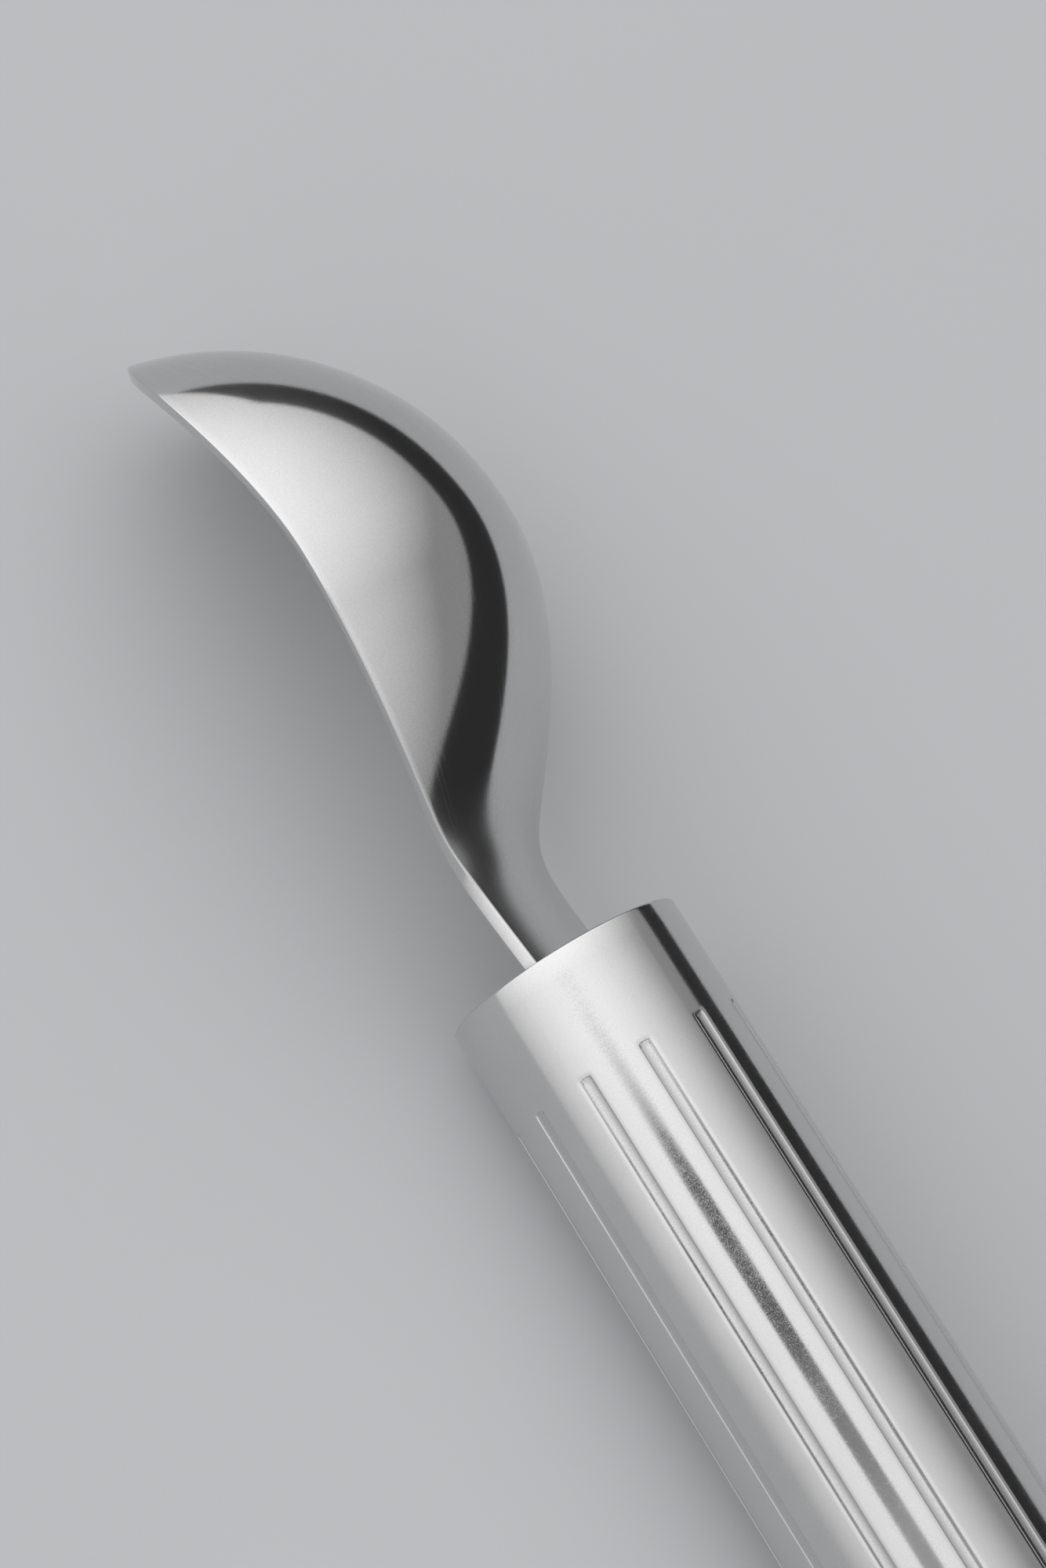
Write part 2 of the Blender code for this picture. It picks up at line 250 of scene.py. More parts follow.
def weighEdges(piece, outerCount):
    # how much each sharp edge is rounded, as a share of the tip's rounding
    bpy.ops.object.mode_set(mode="EDIT")
    bpy.ops.mesh.select_mode(type="EDGE")
    bpy.ops.mesh.select_all(action="DESELECT")
    bpy.ops.mesh.edges_select_sharp(sharpness=bowl["edgeTurn"])
    bpy.ops.object.mode_set(mode="OBJECT")
    plain = bowl["edgeRound"] / bowl["tipRound"]
    weights = piece.data.attributes.new("bevel_weight_edge", "FLOAT", "EDGE")
    for line, weight in zip(piece.data.edges, weights.data):
        if line.select:
            ends = list(line.vertices)
            ahead = sum(piece.data.vertices[end].co.z for end in ends) / 2 / mm
            nearTip = ease(1.0 - (bowl["reach"] - ahead) / bowl["tipAlong"])
            isOuter = max(ends) < outerCount   # the outer face's vertices come first
            weight.value = plain + (1.0 - plain) * nearTip * isOuter
    bpy.context.tool_settings.mesh_select_mode = (True, False, False)   # back to vertices


def drillHole(piece, height):
    deselectAll()
    bpy.ops.mesh.primitive_cylinder_add(
        vertices=bowl["drillSides"],
        radius=bowl["pinHoleRadius"] * mm,
        depth=bowl["drillLength"] * mm,
        location=(0.0, 0.0, height * mm),
        rotation=(math.pi / 2, 0.0, 0.0),
    )
    drill = bpy.context.object
    bpy.context.view_layer.objects.active = piece
    hole = piece.modifiers.new("pinHole", "BOOLEAN")
    hole.solver = "EXACT"
    hole.object = drill
    bpy.ops.object.modifier_apply(modifier=hole.name)
    bpy.data.objects.remove(drill)


def makeBowl():
    sections = bowlSections()
    last = len(sections) - 1
    steps = bowl["acrossSteps"]
    deselectAll()
    bpy.ops.mesh.primitive_grid_add(x_subdivisions=last, y_subdivisions=steps, size=2.0)
    piece = bpy.context.object
    piece.name = "bowlSheet"
    for vertex in piece.data.vertices:
        section = sections[round((vertex.co.x + 1.0) / 2.0 * last)]
        vertex.co = sheetPoint(section, (vertex.co.y + 1.0) / 2.0)
    mapPolish(piece)
    wholeMesh(piece)
    bpy.ops.mesh.remove_doubles(threshold=weldGap)   # the fan's sections meet in one point
    bpy.ops.mesh.flip_normals()
    bpy.ops.object.mode_set(mode="OBJECT")

    mirror = piece.modifiers.new("otherHalf", "MIRROR")
    mirror.merge_threshold = weldGap
    mirror.use_clip = True
    applyAll(piece)
    outerCount = len(piece.data.vertices)
    shell = piece.modifiers.new("sheet", "SOLIDIFY")
    shell.thickness = bowl["sheet"] * mm
    shell.offset = -1.0
    shell.use_even_offset = True
    applyAll(piece)
    squareNeck(piece)
    weighEdges(piece, outerCount)
    edge = piece.modifiers.new("brokenEdge", "BEVEL")
    edge.width = bowl["tipRound"] * mm
    edge.segments = bowl["edgeSteps"]
    edge.limit_method = "WEIGHT"
    applyAll(piece)
    for height in bowl["pinHoles"]:
        drillHole(piece, height)

    deselectAll()
    piece.select_set(True)
    bpy.ops.object.shade_smooth_by_angle(angle=bowl["smoothTurn"])
    layDown(piece)
    return piece


# Tube handle with its pressed grooves
tube = {
    "radius": 14.0,
    "wall": 1.2,
    "rear": 106.7,
    "mouthEdge": 0.3,
    "grooves": 12,
    "grooveStart": 12.9,
    "grooveEnd": 97.1,
    "grooveHalf": 0.66,       # half width of a groove's shallow bottom
    "grooveDepth": 0.25,
    "bottomRound": 1.75,
    "wallTurn": math.radians(65.0),   # slope of its short walls
    "wallRound": 0.12,
    "lipTurn": math.radians(12.0),    # and of the soft lips above them
    "lipRound": 2.2,
    "cornerPower": 4.0,       # how square a groove's ends are
    "bottomSteps": 6,
    "wallSteps": 4,
    "lipSteps": 6,
    "betweenSteps": 3,        # from a groove's lip half way to the next
    "edgeSteps": 4,
    "collarSteps": 5,
    "runSteps": 12,
    "rearSteps": 4,
    "markFrom": 0.8,          # the bottom's painted shade and rougher finish start at this share of the depth at the walls
    "markPast": 1.0,          # and at most this far past the grooves' ends
    "smoothTurn": math.radians(40.0),
}


def bottomDepth(reach):
    return tube["grooveDepth"] - reach * reach / (2.0 * tube["bottomRound"])


def grooveStops():
    # from a groove's middle to the wall's foot, the wall's top, the lip and the plain tube
    lip, wall = tube["lipTurn"], tube["wallTurn"]
    lipDepth = tube["lipRound"] * (1.0 - math.cos(lip))
    roundDepth = tube["wallRound"] * (math.cos(lip) - math.cos(wall))
    foot = tube["grooveHalf"]
    wallTop = foot + (bottomDepth(foot) - lipDepth - roundDepth) / math.tan(wall)
    lipStart = wallTop + tube["wallRound"] * (math.sin(wall) - math.sin(lip))
    return foot, wallTop, lipStart, lipStart + tube["lipRound"] * math.sin(lip)


def grooveDepth(across, back):
    # back counts from the tube's mouth
    foot, wallTop, lipStart, lipEnd = grooveStops()
    past = max(tube["grooveStart"] + foot - back, back - tube["grooveEnd"] + foot, 0.0)
    power = tube["cornerPower"]
    reach = (across ** power + past ** power) ** (1.0 / power)
    if reach < foot:
        return bottomDepth(reach)
    if reach < wallTop:
        return bottomDepth(foot) - (reach - foot) * math.tan(tube["wallTurn"])
    lipRound, lip = tube["lipRound"], tube["lipTurn"]
    if reach < lipStart:
        slope = math.sin(lip) + (lipStart - reach) / tube["wallRound"]
        lipDepth = lipRound * (1.0 - math.cos(lip))
        return lipDepth + tube["wallRound"] * (math.cos(lip) - math.sqrt(1.0 - slope * slope))
    slope = max(lipEnd - reach, 0.0) / lipRound
    return lipRound * (1.0 - math.sqrt(1.0 - slope * slope))


def grooveSteps():
    # places from a groove's middle to the end of its lip
    foot, wallTop, lipStart, lipEnd = grooveStops()
    steps = spread(0.0, foot, tube["bottomSteps"]) + [wallTop]
    steps += spread(wallTop, lipStart, tube["wallSteps"])[1:]
    return steps + spread(lipStart, lipEnd, tube["lipSteps"])[1:]


def tubeColumns():
    # places round the tube for one groove, from half way to the groove on either side
    lipEnd = grooveStops()[-1]
    halfWay = math.pi * tube["radius"] / tube["grooves"]
    columns = grooveSteps() + spread(lipEnd, halfWay, tube["betweenSteps"])[1:]
    return [-place for place in reversed(columns[1:])] + columns


def tubeRows():
    # places from the mouth to the rear: rounded edge, collar, groove's end, plain run, other end
    edge, start = tube["mouthEdge"], tube["grooveStart"]
    turns = spread(0.0, math.pi / 2, tube["edgeSteps"])
    edgeRows = [edge * (1.0 - math.cos(turn)) for turn in turns]
    endRows = [start + tube["grooveHalf"] - place for place in reversed(grooveSteps())]
    otherRows = [start + tube["grooveEnd"] - row for row in reversed(endRows)]
    rows = edgeRows + spread(edge, endRows[0], tube["collarSteps"])[1:-1] + endRows
    rows += spread(endRows[-1], otherRows[0], tube["runSteps"])[1:-1] + otherRows
    return rows + spread(otherRows[-1], tube["rear"], tube["rearSteps"])[1:]


def closeTube(piece):
    # the mouth turns in and runs down the bore to the rear
    edge = tube["mouthEdge"]
    bore = tube["radius"] - tube["wall"]
    pickVertices(piece, lambda place: place.z > -weldGap / mm)
    ringStep((bore + edge) / (tube["radius"] - edge), 0.0)
    ringStep(bore / (bore + edge), -edge)
    ringStep(1.0, edge - tube["rear"])
    ringStep(tube["radius"] / bore, 0.0)
    wholeMesh(piece)
    bpy.ops.mesh.remove_doubles(threshold=weldGap)
    bpy.ops.mesh.normals_make_consistent(inside=False)


def markGrooveShadeAndRough(piece):
    # 1 on the bottom of a groove, 0 on the round of the tube, for the painted shade and the rougher
    # finish there
    start = tube["grooveStart"] - tube["markPast"]
    end = tube["grooveEnd"] + tube["markPast"]
    mark = piece.data.attributes.new("groove", "FLOAT", "POINT")
    for vertex, value in zip(piece.data.vertices, mark.data):
        if start < -vertex.co.z / mm < end:
            sunk = tube["radius"] - math.hypot(vertex.co.x, vertex.co.y) / mm
            share = sunk / bottomDepth(tube["grooveHalf"])
            value.value = ease((share - tube["markFrom"]) / (1.0 - tube["markFrom"]))


def makeTube():
    rows, columns = tubeRows(), tubeColumns()
    lastRow, lastColumn = len(rows) - 1, len(columns) - 1
    radius, edge = tube["radius"], tube["mouthEdge"]
    deselectAll()
    bpy.ops.mesh.primitive_grid_add(x_subdivisions=lastRow, y_subdivisions=lastColumn, size=2.0)
    piece = bpy.context.object
    piece.name = "grooveTube"
    for vertex in piece.data.vertices:
        back = rows[round((vertex.co.x + 1.0) / 2.0 * lastRow)]
        beside = columns[round((vertex.co.y + 1.0) / 2.0 * lastColumn)]
        out = radius - grooveDepth(abs(beside), back)
        if back < edge:
            out -= edge - math.sqrt(edge * edge - (edge - back) ** 2)
        angle = beside / radius
        vertex.co = (out * math.cos(angle) * mm, out * math.sin(angle) * mm, -back * mm)
    wholeMesh(piece)
    copies = tube["grooves"] - 1
    bpy.ops.mesh.spin(
        steps=copies,
        dupli=True,
        angle=2.0 * math.pi * copies / tube["grooves"],
        center=(0.0, 0.0, 0.0),
        axis=(0.0, 0.0, 1.0),
    )
    wholeMesh(piece)
    bpy.ops.mesh.remove_doubles(threshold=weldGap)
    closeTube(piece)
    bpy.ops.object.mode_set(mode="OBJECT")
    bpy.ops.object.shade_smooth_by_angle(angle=tube["smoothTurn"])
    markGrooveShadeAndRough(piece)
    layDown(piece)
    return piece


# Closed rear end of the handle
cap = {
    "radius": 14.0,
    "spigotRadius": 12.5,
    "spigotTop": -99.0,
    "spigotEdge": 0.4,
    "seat": -107.0,
    "end": -110.0,
    "rounding": 1.0,
    "roundSteps": 6,
    "seamEdge": 0.2,
    "flatRing": 2.0,         # ring of faces round the flat end
    "sides": 160,
    "smoothTurn": math.radians(35.0),
}


def capOutline():
    # widths and heights from the spigot's edge to the flat end
    outline = [
        (cap["spigotRadius"], cap["spigotTop"] - cap["spigotEdge"]),
        (cap["spigotRadius"], cap["seat"]),
        (cap["radius"] - cap["seamEdge"], cap["seat"]),
        (cap["radius"], cap["seat"] - cap["seamEdge"]),
    ]
    for turn in spread(0.0, math.pi / 2, cap["roundSteps"]):
        inset = cap["rounding"] * (1.0 - math.cos(turn))
        rise = cap["rounding"] * (1.0 - math.sin(turn))
        outline.append((cap["radius"] - inset, cap["end"] + rise))
    return outline


def makeCap():
    width, height = cap["spigotRadius"] - cap["spigotEdge"], cap["spigotTop"]
    deselectAll()
    bpy.ops.mesh.primitive_circle_add(
        vertices=cap["sides"],
        radius=width * mm,
        fill_type="NGON",
        location=(0.0, 0.0, height * mm),
    )
    piece = bpy.context.object
    piece.name = "handleCap"
    bpy.ops.object.transform_apply(location=True)
    wholeMesh(piece)
    for nextWidth, nextHeight in capOutline():
        ringStep(nextWidth / width, nextHeight - height)
        width, height = nextWidth, nextHeight
    bpy.ops.mesh.inset(thickness=cap["flatRing"] * mm)
    wholeMesh(piece)
    bpy.ops.mesh.normals_make_consistent(inside=False)
    bpy.ops.object.mode_set(mode="OBJECT")
    bpy.ops.object.shade_smooth_by_angle(angle=cap["smoothTurn"])
    layDown(piece)
    return piece


# Nodes
def addNode(tree, kind, values=None, **settings):
    node = tree.nodes.new(kind)
    for name, value in settings.items():
        setattr(node, name, value)
    for name, value in (values or {}).items():
        node.inputs[name].default_value = value
    return node


def newGroup(name, inputs, outputs):
    group = bpy.data.node_groups.new(name, "ShaderNodeTree")
    for socketName, kind in inputs:
        group.interface.new_socket(socketName, in_out="INPUT", socket_type=kind)
    for socketName, kind in outputs:
        group.interface.new_socket(socketName, in_out="OUTPUT", socket_type=kind)
    return group, group.nodes.new("NodeGroupInput"), group.nodes.new("NodeGroupOutput")


def placeGroup(tree, group):
    return addNode(tree, "ShaderNodeGroup", node_tree=group)


def makeBrushGroup():
    # long fine scratches: the vector comes in stretched, one unit across a scratch
    group, entry, result = newGroup(
        "brushLines",
        [("Vector", "NodeSocketVector")],
        [("Lines", "NodeSocketFloat"), ("Ticks", "NodeSocketFloat")],
    )
    fine = addNode(group, "ShaderNodeTexNoise", {"Scale": 1.0, "Detail": 3.0, "Roughness": 0.6})
    sparse = addNode(group, "ShaderNodeTexNoise", {"Scale": 0.37, "Detail": 1.0, "Roughness": 0.5})
    ticks = addNode(group, "ShaderNodeMapRange", {"From Min": 0.6, "From Max": 0.74})
    for texture in (fine, sparse):
        group.links.new(entry.outputs["Vector"], texture.inputs["Vector"])
    group.links.new(sparse.outputs[0], ticks.inputs["Value"])
    group.links.new(fine.outputs[0], result.inputs["Lines"])
    group.links.new(ticks.outputs[0], result.inputs["Ticks"])
    return group


def makeGrainGroup():
    # satin speckle, and slow clouds where hands and cloths have been
    group, entry, result = newGroup(
        "satinGrain",
        [
            ("Vector", "NodeSocketVector"),
            ("Speckle Scale", "NodeSocketFloat"),
            ("Cloud Scale", "NodeSocketFloat"),
        ],
        [("Speckle", "NodeSocketFloat"), ("Cloud", "NodeSocketFloat")],
    )
    speckle = addNode(group, "ShaderNodeTexNoise", {"Detail": 2.0, "Roughness": 0.65})
    cloud = addNode(group, "ShaderNodeTexNoise", {"Detail": 4.0, "Roughness": 0.55, "Distortion": 0.4})
    for texture, scale in ((speckle, "Speckle Scale"), (cloud, "Cloud Scale")):
        group.links.new(entry.outputs["Vector"], texture.inputs["Vector"])
        group.links.new(entry.outputs[scale], texture.inputs["Scale"])
    group.links.new(speckle.outputs[0], result.inputs["Speckle"])
    group.links.new(cloud.outputs[0], result.inputs["Cloud"])
    return group


def makeTurnedGroup():
    # rings left by a lathe tool, round the X axis of the vector that comes in
    group, entry, result = newGroup(
        "turnedRings",
        [("Vector", "NodeSocketVector"), ("Rings", "NodeSocketFloat")],
        [("Height", "NodeSocketFloat")],
    )
    flatten = addNode(group, "ShaderNodeVectorMath", operation="MULTIPLY")
    flatten.inputs[1].default_value = (0.0, 1.0, 1.0)
    distance = addNode(group, "ShaderNodeVectorMath", operation="LENGTH")
    rings = addNode(group, "ShaderNodeTexNoise", {"Detail": 2.0, "Roughness": 0.6}, noise_dimensions="1D")
    group.links.new(entry.outputs["Vector"], flatten.inputs[0])
    group.links.new(flatten.outputs[0], distance.inputs[0])
    group.links.new(distance.outputs["Value"], rings.inputs["W"])
    group.links.new(entry.outputs["Rings"], rings.inputs["Scale"])
    group.links.new(rings.outputs[0], result.inputs["Height"])
    return group


brushGroup = makeBrushGroup()
grainGroup = makeGrainGroup()
turnedGroup = makeTurnedGroup()
print("node groups made")


def startMaterial(name, metallic=0.0):
    material = bpy.data.materials.new(name)
    material.use_nodes = True
    shader = material.node_tree.nodes["Principled BSDF"]
    shader.inputs["Metallic"].default_value = metallic
    return material, material.node_tree, shader


def mixTones(tree, factor, low, high):
    # sockets 6 and 7 of a mix node are its two colours
    mix = addNode(tree, "ShaderNodeMix", data_type="RGBA")
    mix.inputs[6].default_value = (*low, 1.0)
    mix.inputs[7].default_value = (*high, 1.0)
    tree.links.new(factor, mix.inputs[0])
    return mix.outputs[2]


def darken(tree, tone, amount, level):
    # tone times the level where the amount is 1
    mix = addNode(tree, "ShaderNodeMix", data_type="RGBA", blend_type="MULTIPLY")
    mix.inputs[7].default_value = (level, level, level, 1.0)
    tree.links.new(amount, mix.inputs[0])
    tree.links.new(tone, mix.inputs[6])
    return mix.outputs[2]


def rescale(tree, value, low, high, fromLow=0.3, fromHigh=0.7):
    # most of a noise lies between 0.3 and 0.7
    ends = {"From Min": fromLow, "From Max": fromHigh, "To Min": low, "To Max": high}
    node = addNode(tree, "ShaderNodeMapRange", ends)
    tree.links.new(value, node.inputs["Value"])
    return node.outputs[0]


def combine(tree, first, second, operation="ADD"):
    node = addNode(tree, "ShaderNodeMath", operation=operation)
    tree.links.new(first, node.inputs[0])
    if isinstance(second, float):
        node.inputs[1].default_value = second
    else:
        tree.links.new(second, node.inputs[1])
    return node.outputs[0]


def dotProduct(tree, vector, fixed):
    node = addNode(tree, "ShaderNodeVectorMath", operation="DOT_PRODUCT")
    node.inputs[1].default_value = fixed
    tree.links.new(vector, node.inputs[0])
    return node.outputs["Value"]


def addBump(tree, shader, height, distance):
    bump = addNode(tree, "ShaderNodeBump", {"Distance": distance})
    tree.links.new(height, bump.inputs["Height"])
    tree.links.new(bump.outputs[0], shader.inputs["Normal"])


def surfaceVector(tree, source="Object", scale=(1.0, 1.0, 1.0), location=(0.0, 0.0, 0.0)):
    place = addNode(tree, "ShaderNodeTexCoord")
    mapping = addNode(tree, "ShaderNodeMapping", {"Scale": scale, "Location": location})
    tree.links.new(place.outputs[source], mapping.inputs["Vector"])
    return mapping.outputs[0]


def addBrush(tree, source, scale):
    brush = placeGroup(tree, brushGroup)
    tree.links.new(surfaceVector(tree, source, scale), brush.inputs["Vector"])
    return brush.outputs["Lines"], brush.outputs["Ticks"]


def addGrain(tree, finish):
    grain = placeGroup(tree, grainGroup)
    grain.inputs["Speckle Scale"].default_value = finish["speckleScale"]
    grain.inputs["Cloud Scale"].default_value = finish["cloudScale"]
    tree.links.new(surfaceVector(tree), grain.inputs["Vector"])
    return grain.outputs["Speckle"], grain.outputs["Cloud"]


# Satin steel of the tube, brushed round the handle
handleFinish = {
    "dark": (0.6, 0.6, 0.6),
    "light": (0.66, 0.66, 0.66),
    "groovePaintedShade": 0.85,           # painted shade: darker tone at the bottom of a groove
    "speckDark": 0.96,            # tone in the satin speckle
    "roughLow": 0.08,
    "roughHigh": 0.12,
    "cloudRough": (-0.02, 0.03),
    "grooveRough": 0.04,
    "speckRough": 0.12,           # added in the speckle,
    "speckRange": (0.5, 0.66),    # where it rises through this
    "anisotropic": 0.4,
    "scratches": (6500.0, 800.0, 800.0),
    "speckleScale": 8000.0,
    "cloudScale": 130.0,
    "bump": 0.0004 * mm,
    "tickHeight": -0.8,
    "grain": 0.6,                 # speckle against the scratches
}


def makeHandleSteel():
    finish = handleFinish
    material, tree, shader = startMaterial("handleSteel", metallic=1.0)
    shader.inputs["Anisotropic"].default_value = finish["anisotropic"]
    lines, ticks = addBrush(tree, "Object", finish["scratches"])
    grain, cloud = addGrain(tree, finish)
    groove = addNode(tree, "ShaderNodeAttribute", attribute_name="groove").outputs["Fac"]

    tone = mixTones(tree, cloud, finish["dark"], finish["light"])
    speckle = rescale(tree, grain, 0.0, 1.0)
    tone = darken(tree, tone, speckle, finish["speckDark"])
    # painted shade: the satin speckle is darker at the bottoms of the grooves
    tone = darken(tree, tone, combine(tree, groove, speckle, "MULTIPLY"), finish["groovePaintedShade"])
    tree.links.new(tone, shader.inputs["Base Color"])

    rough = rescale(tree, lines, finish["roughLow"], finish["roughHigh"])
    rough = combine(tree, rough, rescale(tree, cloud, *finish["cloudRough"]))
    rough = combine(tree, rough, rescale(tree, groove, 0.0, finish["grooveRough"], 0.0, 1.0))
    specks = rescale(tree, grain, 0.0, finish["speckRough"], *finish["speckRange"])
    tree.links.new(combine(tree, rough, specks), shader.inputs["Roughness"])

    height = combine(tree, lines, rescale(tree, ticks, 0.0, finish["tickHeight"], 0.0, 1.0))
    height = combine(tree, height, rescale(tree, grain, 0.0, finish["grain"]))
    addBump(tree, shader, height, finish["bump"])
    tangent = addNode(tree, "ShaderNodeTangent", direction_type="UV_MAP")
    tree.links.new(tangent.outputs[0], shader.inputs["Tangent"])
    return material


# Satin steel of the bowl, with polishing lines along it
bowlFinish = {
    "dark": (0.6, 0.6, 0.6),
    "light": (0.66, 0.66, 0.66),
    "lineDark": 0.92,                       # tone in the polishing lines
    "lineLean": (-2.4, 1.0, 0.0),           # they lie on the back, wider towards the tip,
    "lineSpread": (-1.35, -1.12),           # and fade out between these
    "lineHeight": 0.7,                      # lines against the speckle
    "speckDark": 0.93,                      # tone in the satin speckle
    "roughLow": 0.07,
    "roughHigh": 0.11,
    "tickRough": 0.05,
    "neckRough": 0.12,                      # added on the neck, which is polished less
    "neckAlong": (-34.0 * mm, -28.0 * mm),  # the bowl gives way to the neck here
    "lines": (5.0, 140.0, 1.0),
    "speckleScale": 4600.0,
    "cloudScale": 90.0,
    "bump": 0.0016 * mm,
}


def makeBowlSteel():
    finish = bowlFinish
    material, tree, shader = startMaterial("bowlSteel", metallic=1.0)
    lines, ticks = addBrush(tree, "UV", finish["lines"])
    grain, cloud = addGrain(tree, finish)
    aside = dotProduct(tree, surfaceVector(tree, "UV"), finish["lineLean"])
    onBack = rescale(tree, aside, 1.0, 0.0, *finish["lineSpread"])
    polish = combine(tree, rescale(tree, lines, 0.0, 1.0), onBack, "MULTIPLY")

    tone = mixTones(tree, cloud, finish["dark"], finish["light"])
    tone = darken(tree, tone, polish, finish["lineDark"])
    tone = darken(tree, tone, rescale(tree, grain, 0.0, 1.0), finish["speckDark"])
    tree.links.new(tone, shader.inputs["Base Color"])

    rough = rescale(tree, grain, finish["roughLow"], finish["roughHigh"])
    rough = combine(tree, rough, rescale(tree, ticks, 0.0, finish["tickRough"], 0.0, 1.0))
    along = dotProduct(tree, surfaceVector(tree), (1.0, 0.0, 0.0))
    onNeck = rescale(tree, along, 0.0, finish["neckRough"], *finish["neckAlong"])
    tree.links.new(combine(tree, rough, onNeck), shader.inputs["Roughness"])

    height = combine(tree, grain, combine(tree, polish, finish["lineHeight"], "MULTIPLY"))
    addBump(tree, shader, height, finish["bump"])
    return material


# Turned steel of the plug in the tube's mouth, and of the cap
plugFinish = {
    "dark": (0.5, 0.5, 0.49),
    "light": (0.6, 0.6, 0.59),
    "rings": 4200.0,
    "rough": (0.24, 0.36),
    "cloudRough": (-0.03, 0.05),
    "speckleScale": 5000.0,
    "cloudScale": 240.0,
    "bump": 0.006 * mm,
    "grain": 0.3,            # speckle against the rings
}
capFinish = {
    **plugFinish,
    "dark": (0.6, 0.6, 0.6),
    "light": (0.66, 0.66, 0.66),
    "rings": 5200.0,
    "bump": 0.004 * mm,
}


def makeTurnedSteel(name, finish):
    material, tree, shader = startMaterial(name, metallic=1.0)
    turned = placeGroup(tree, turnedGroup)
    turned.inputs["Rings"].default_value = finish["rings"]
    middle = (0.0, -lying["mouth"][1], -lying["mouth"][2])
    tree.links.new(surfaceVector(tree, location=middle), turned.inputs["Vector"])
    rings = turned.outputs["Height"]
    grain, cloud = addGrain(tree, finish)
    tone = mixTones(tree, cloud, finish["dark"], finish["light"])
    tree.links.new(tone, shader.inputs["Base Color"])
    rough = rescale(tree, rings, *finish["rough"])
    rough = combine(tree, rough, rescale(tree, cloud, *finish["cloudRough"]))
    tree.links.new(rough, shader.inputs["Roughness"])
    height = combine(tree, rings, rescale(tree, grain, 0.0, finish["grain"]))
    addBump(tree, shader, height, finish["bump"])
    return material


# Ground steel of the pins through the tang
pinFinish = {
    "dark": (0.5, 0.5, 0.5),
    "light": (0.6, 0.6, 0.59),
    "rough": (0.26, 0.4),
    "scratches": (700.0, 6000.0, 6000.0),
    "speckleScale": 6000.0,
    "cloudScale": 500.0,
    "bump": 0.003 * mm,
}


def makePinSteel():
    finish = pinFinish
    material, tree, shader = startMaterial("pinSteel", metallic=1.0)
    lines, ticks = addBrush(tree, "Object", finish["scratches"])
    cloud = addGrain(tree, finish)[1]
    tone = mixTones(tree, cloud, finish["dark"], finish["light"])
    tree.links.new(tone, shader.inputs["Base Color"])
    tree.links.new(rescale(tree, lines, *finish["rough"]), shader.inputs["Roughness"])
    addBump(tree, shader, combine(tree, lines, ticks, "SUBTRACT"), finish["bump"])
    return material


# Moulded plastic of the blocks that clamp the tang
coreFinish = {
    "dark": (0.66, 0.65, 0.62),
    "light": (0.74, 0.73, 0.70),
    "rough": (0.48, 0.62),
    "ior": 1.49,
    "speckleScale": 1800.0,
    "cloudScale": 160.0,
    "bump": 0.03 * mm,
}


def makeCorePlastic():
    finish = coreFinish
    material, tree, shader = startMaterial("corePlastic")
    shader.inputs["IOR"].default_value = finish["ior"]
    grain, cloud = addGrain(tree, finish)
    tone = mixTones(tree, cloud, finish["dark"], finish["light"])
    tree.links.new(tone, shader.inputs["Base Color"])
    tree.links.new(rescale(tree, grain, *finish["rough"]), shader.inputs["Roughness"])
    addBump(tree, shader, grain, finish["bump"])
    return material


handleSteel = makeHandleSteel()
bowlSteel = makeBowlSteel()
plugSteel = makeTurnedSteel("plugSteel", plugFinish)
capSteel = makeTurnedSteel("capSteel", capFinish)
pinSteel = makePinSteel()
corePlastic = makeCorePlastic()
print("finishes made")


def setMaterial(piece, material):
    piece.data.materials.clear()
    piece.data.materials.append(material)


def finishPiece(piece, material, node):
    setMaterial(piece, material)
    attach(piece, "root")
    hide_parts(node)
    print(piece.name, "made,", len(piece.data.polygons), "faces")


finishPiece(makeBowl(), bowlSteel, "scoop_bowl")
finishPiece(makeTube(), handleSteel, "handle_tube")
finishPiece(makeCap(), capSteel, "end_cap")

innerFinishes = {
    "front_plug": plugSteel,
    "tang_core_back": corePlastic,
    "tang_core_front": corePlastic,
    "tang_pin_1": pinSteel,
    "tang_pin_2": pinSteel,
}
for nodeName, material in innerFinishes.items():
    setMaterial(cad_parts[nodeName], material)
print("inner pieces finished")

# Pale table
tableTop = {
    "size": 12.0,
    "dark": (0.52, 0.53, 0.545),
    "lighter": 1.04,         # its clouds, against the dark tone
    "rough": 0.8,
    "specular": 0.2,
    "speckleScale": 900.0,
    "cloudScale": 6.0,
}


def makeTable():
    deselectAll()
    bpy.ops.mesh.primitive_plane_add(size=tableTop["size"])
    floor = bpy.context.object
    floor.name = "tableTop"
    material, tree, shader = startMaterial("tableTop")
    light = [value * tableTop["lighter"] for value in tableTop["dark"]]
    cloud = addGrain(tree, tableTop)[1]
    tone = mixTones(tree, cloud, tableTop["dark"], light)
    tree.links.new(tone, shader.inputs["Base Color"])
    shader.inputs["Roughness"].default_value = tableTop["rough"]
    shader.inputs["Specular IOR Level"].default_value = tableTop["specular"]
    setMaterial(floor, material)


# Studio light all round, by the direction that it comes from
studio = {
    "skyLevel": 0.07,
    "skyLean": (0.0, -0.5, 1.05),     # brighter overhead, and towards -Y
    "skyAlong": (-0.95, 0.05),        # brighter towards -X, level past this place
    "skyFar": (0.35, 0.3),            # and again towards +X, from here
    "skyLow": 0.35,
    "skyHigh": 1.5,
    "wallTop": (0.36, 0.17),          # dark wall behind the bowl: its height, and the rise along X
    "wallEnd": (0.45, 1.2),           # where the wall ends along Y, and how fast
    "wallEdge": (-0.012, 0.014),
    "wallLevel": 0.1,
    "gapTurn": math.radians(26.5),    # gap in the light tent that the camera looks through
    "gapStart": (-0.097, -0.058),     # it opens from a point to its full width
    "gapFade": (-0.02, 0.1, 0.6),     # from here to there it fades to this share
    "gapWidth": (0.118, 0.135),
    "gapLevel": 0.03,
}


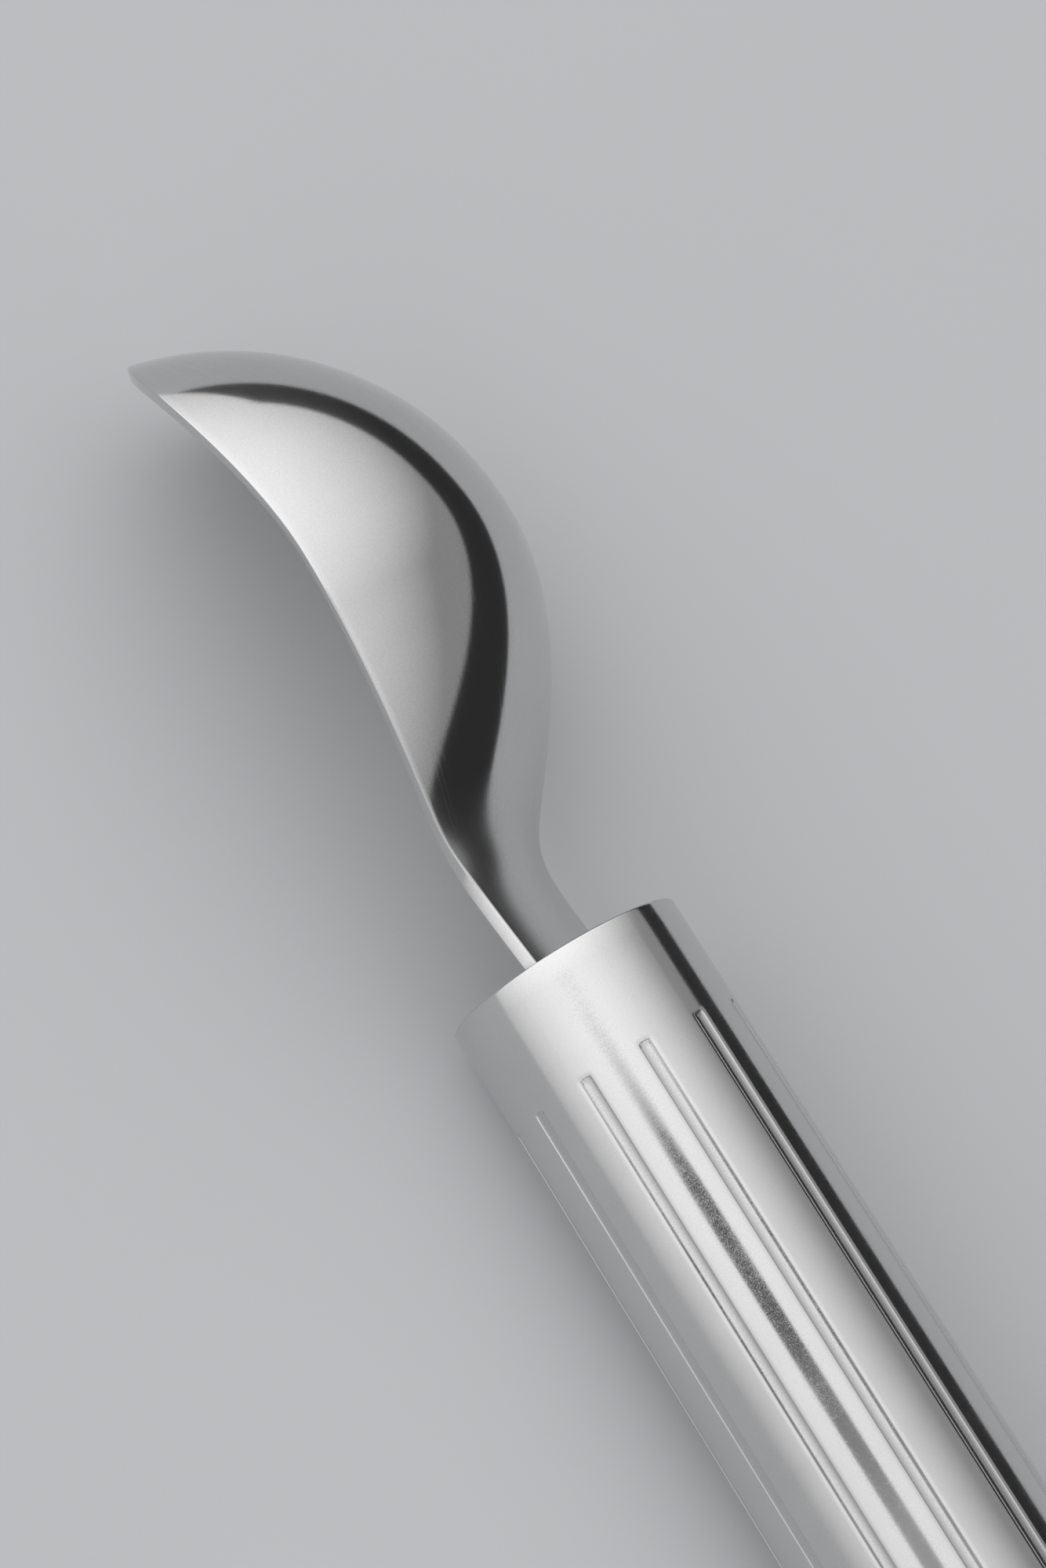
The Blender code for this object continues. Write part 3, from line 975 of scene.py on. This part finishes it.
def skyLight(tree, direction, x):
    lean, level = studio["skyAlong"]
    near = combine(tree, combine(tree, x, level, "MINIMUM"), lean, "MULTIPLY")
    lean, level = studio["skyFar"]
    far = combine(tree, combine(tree, x, level, "SUBTRACT"), 0.0, "MAXIMUM")
    sky = combine(tree, near, combine(tree, far, lean, "MULTIPLY"))
    sky = combine(tree, sky, dotProduct(tree, direction, studio["skyLean"]))
    sky = combine(tree, sky, studio["skyLevel"])
    sky = combine(tree, sky, studio["skyLow"], "MAXIMUM")
    return combine(tree, sky, studio["skyHigh"], "MINIMUM")


def wallShade(tree, x, y, z):
    # low on the +Y side
    height, rise = studio["wallTop"]
    end, steepness = studio["wallEnd"]
    top = combine(tree, combine(tree, x, rise, "MULTIPLY"), height)
    above = combine(tree, z, top, "SUBTRACT")
    past = combine(tree, combine(tree, y, -1.0, "MULTIPLY"), end)
    past = combine(tree, past, 0.0, "MAXIMUM")
    above = combine(tree, above, combine(tree, past, steepness, "MULTIPLY"))
    return rescale(tree, above, studio["wallLevel"], 1.0, *studio["wallEdge"])


def gapShade(tree, direction, x):
    turn = studio["gapTurn"]
    inner, outer = (edge ** 2 for edge in studio["gapWidth"])
    across = dotProduct(tree, direction, (0.0, math.cos(turn), math.sin(turn)))
    taper = rescale(tree, x, outer, 0.0, *studio["gapStart"])
    inside = combine(tree, combine(tree, across, across, "MULTIPLY"), taper)
    inside = rescale(tree, inside, 1.0, 0.0, inner, outer)
    fadeFrom, fadeTo, share = studio["gapFade"]
    fade = rescale(tree, x, 1.0, share, fadeFrom, fadeTo)
    inside = combine(tree, inside, fade, "MULTIPLY")
    return rescale(tree, inside, 1.0, studio["gapLevel"], 0.0, 1.0)


def makeLight():
    world = bpy.data.worlds.new("studio")
    bpy.context.scene.world = world
    world.use_nodes = True
    tree = world.node_tree
    background = tree.nodes["Background"]
    background.inputs["Color"].default_value = (1.0, 1.0, 1.0, 1.0)
    direction = addNode(tree, "ShaderNodeTexCoord").outputs["Generated"]
    parts = addNode(tree, "ShaderNodeSeparateXYZ")
    tree.links.new(direction, parts.inputs[0])
    x, y, z = (parts.outputs[axis] for axis in "XYZ")
    level = combine(tree, skyLight(tree, direction, x), wallShade(tree, x, y, z), "MULTIPLY")
    level = combine(tree, level, gapShade(tree, direction, x), "MULTIPLY")
    tree.links.new(level, background.inputs["Strength"])


# Camera at the photo's angle
view = {
    "place": (0.03134, -0.11549, 0.28003),
    "turn": (23.3067, -13.8305, 57.4818),
    "lens": 61.2,
    "clipStart": 0.01,
}


def makeCamera():
    turn = [math.radians(value) for value in view["turn"]]
    bpy.ops.object.camera_add(location=view["place"], rotation=turn)
    camera = bpy.context.object
    camera.data.lens = view["lens"]
    camera.data.clip_start = view["clipStart"]
    bpy.context.scene.camera = camera


makeTable()
makeLight()
makeCamera()
bpy.context.scene.view_settings.view_transform = "Standard"
print("stage set")
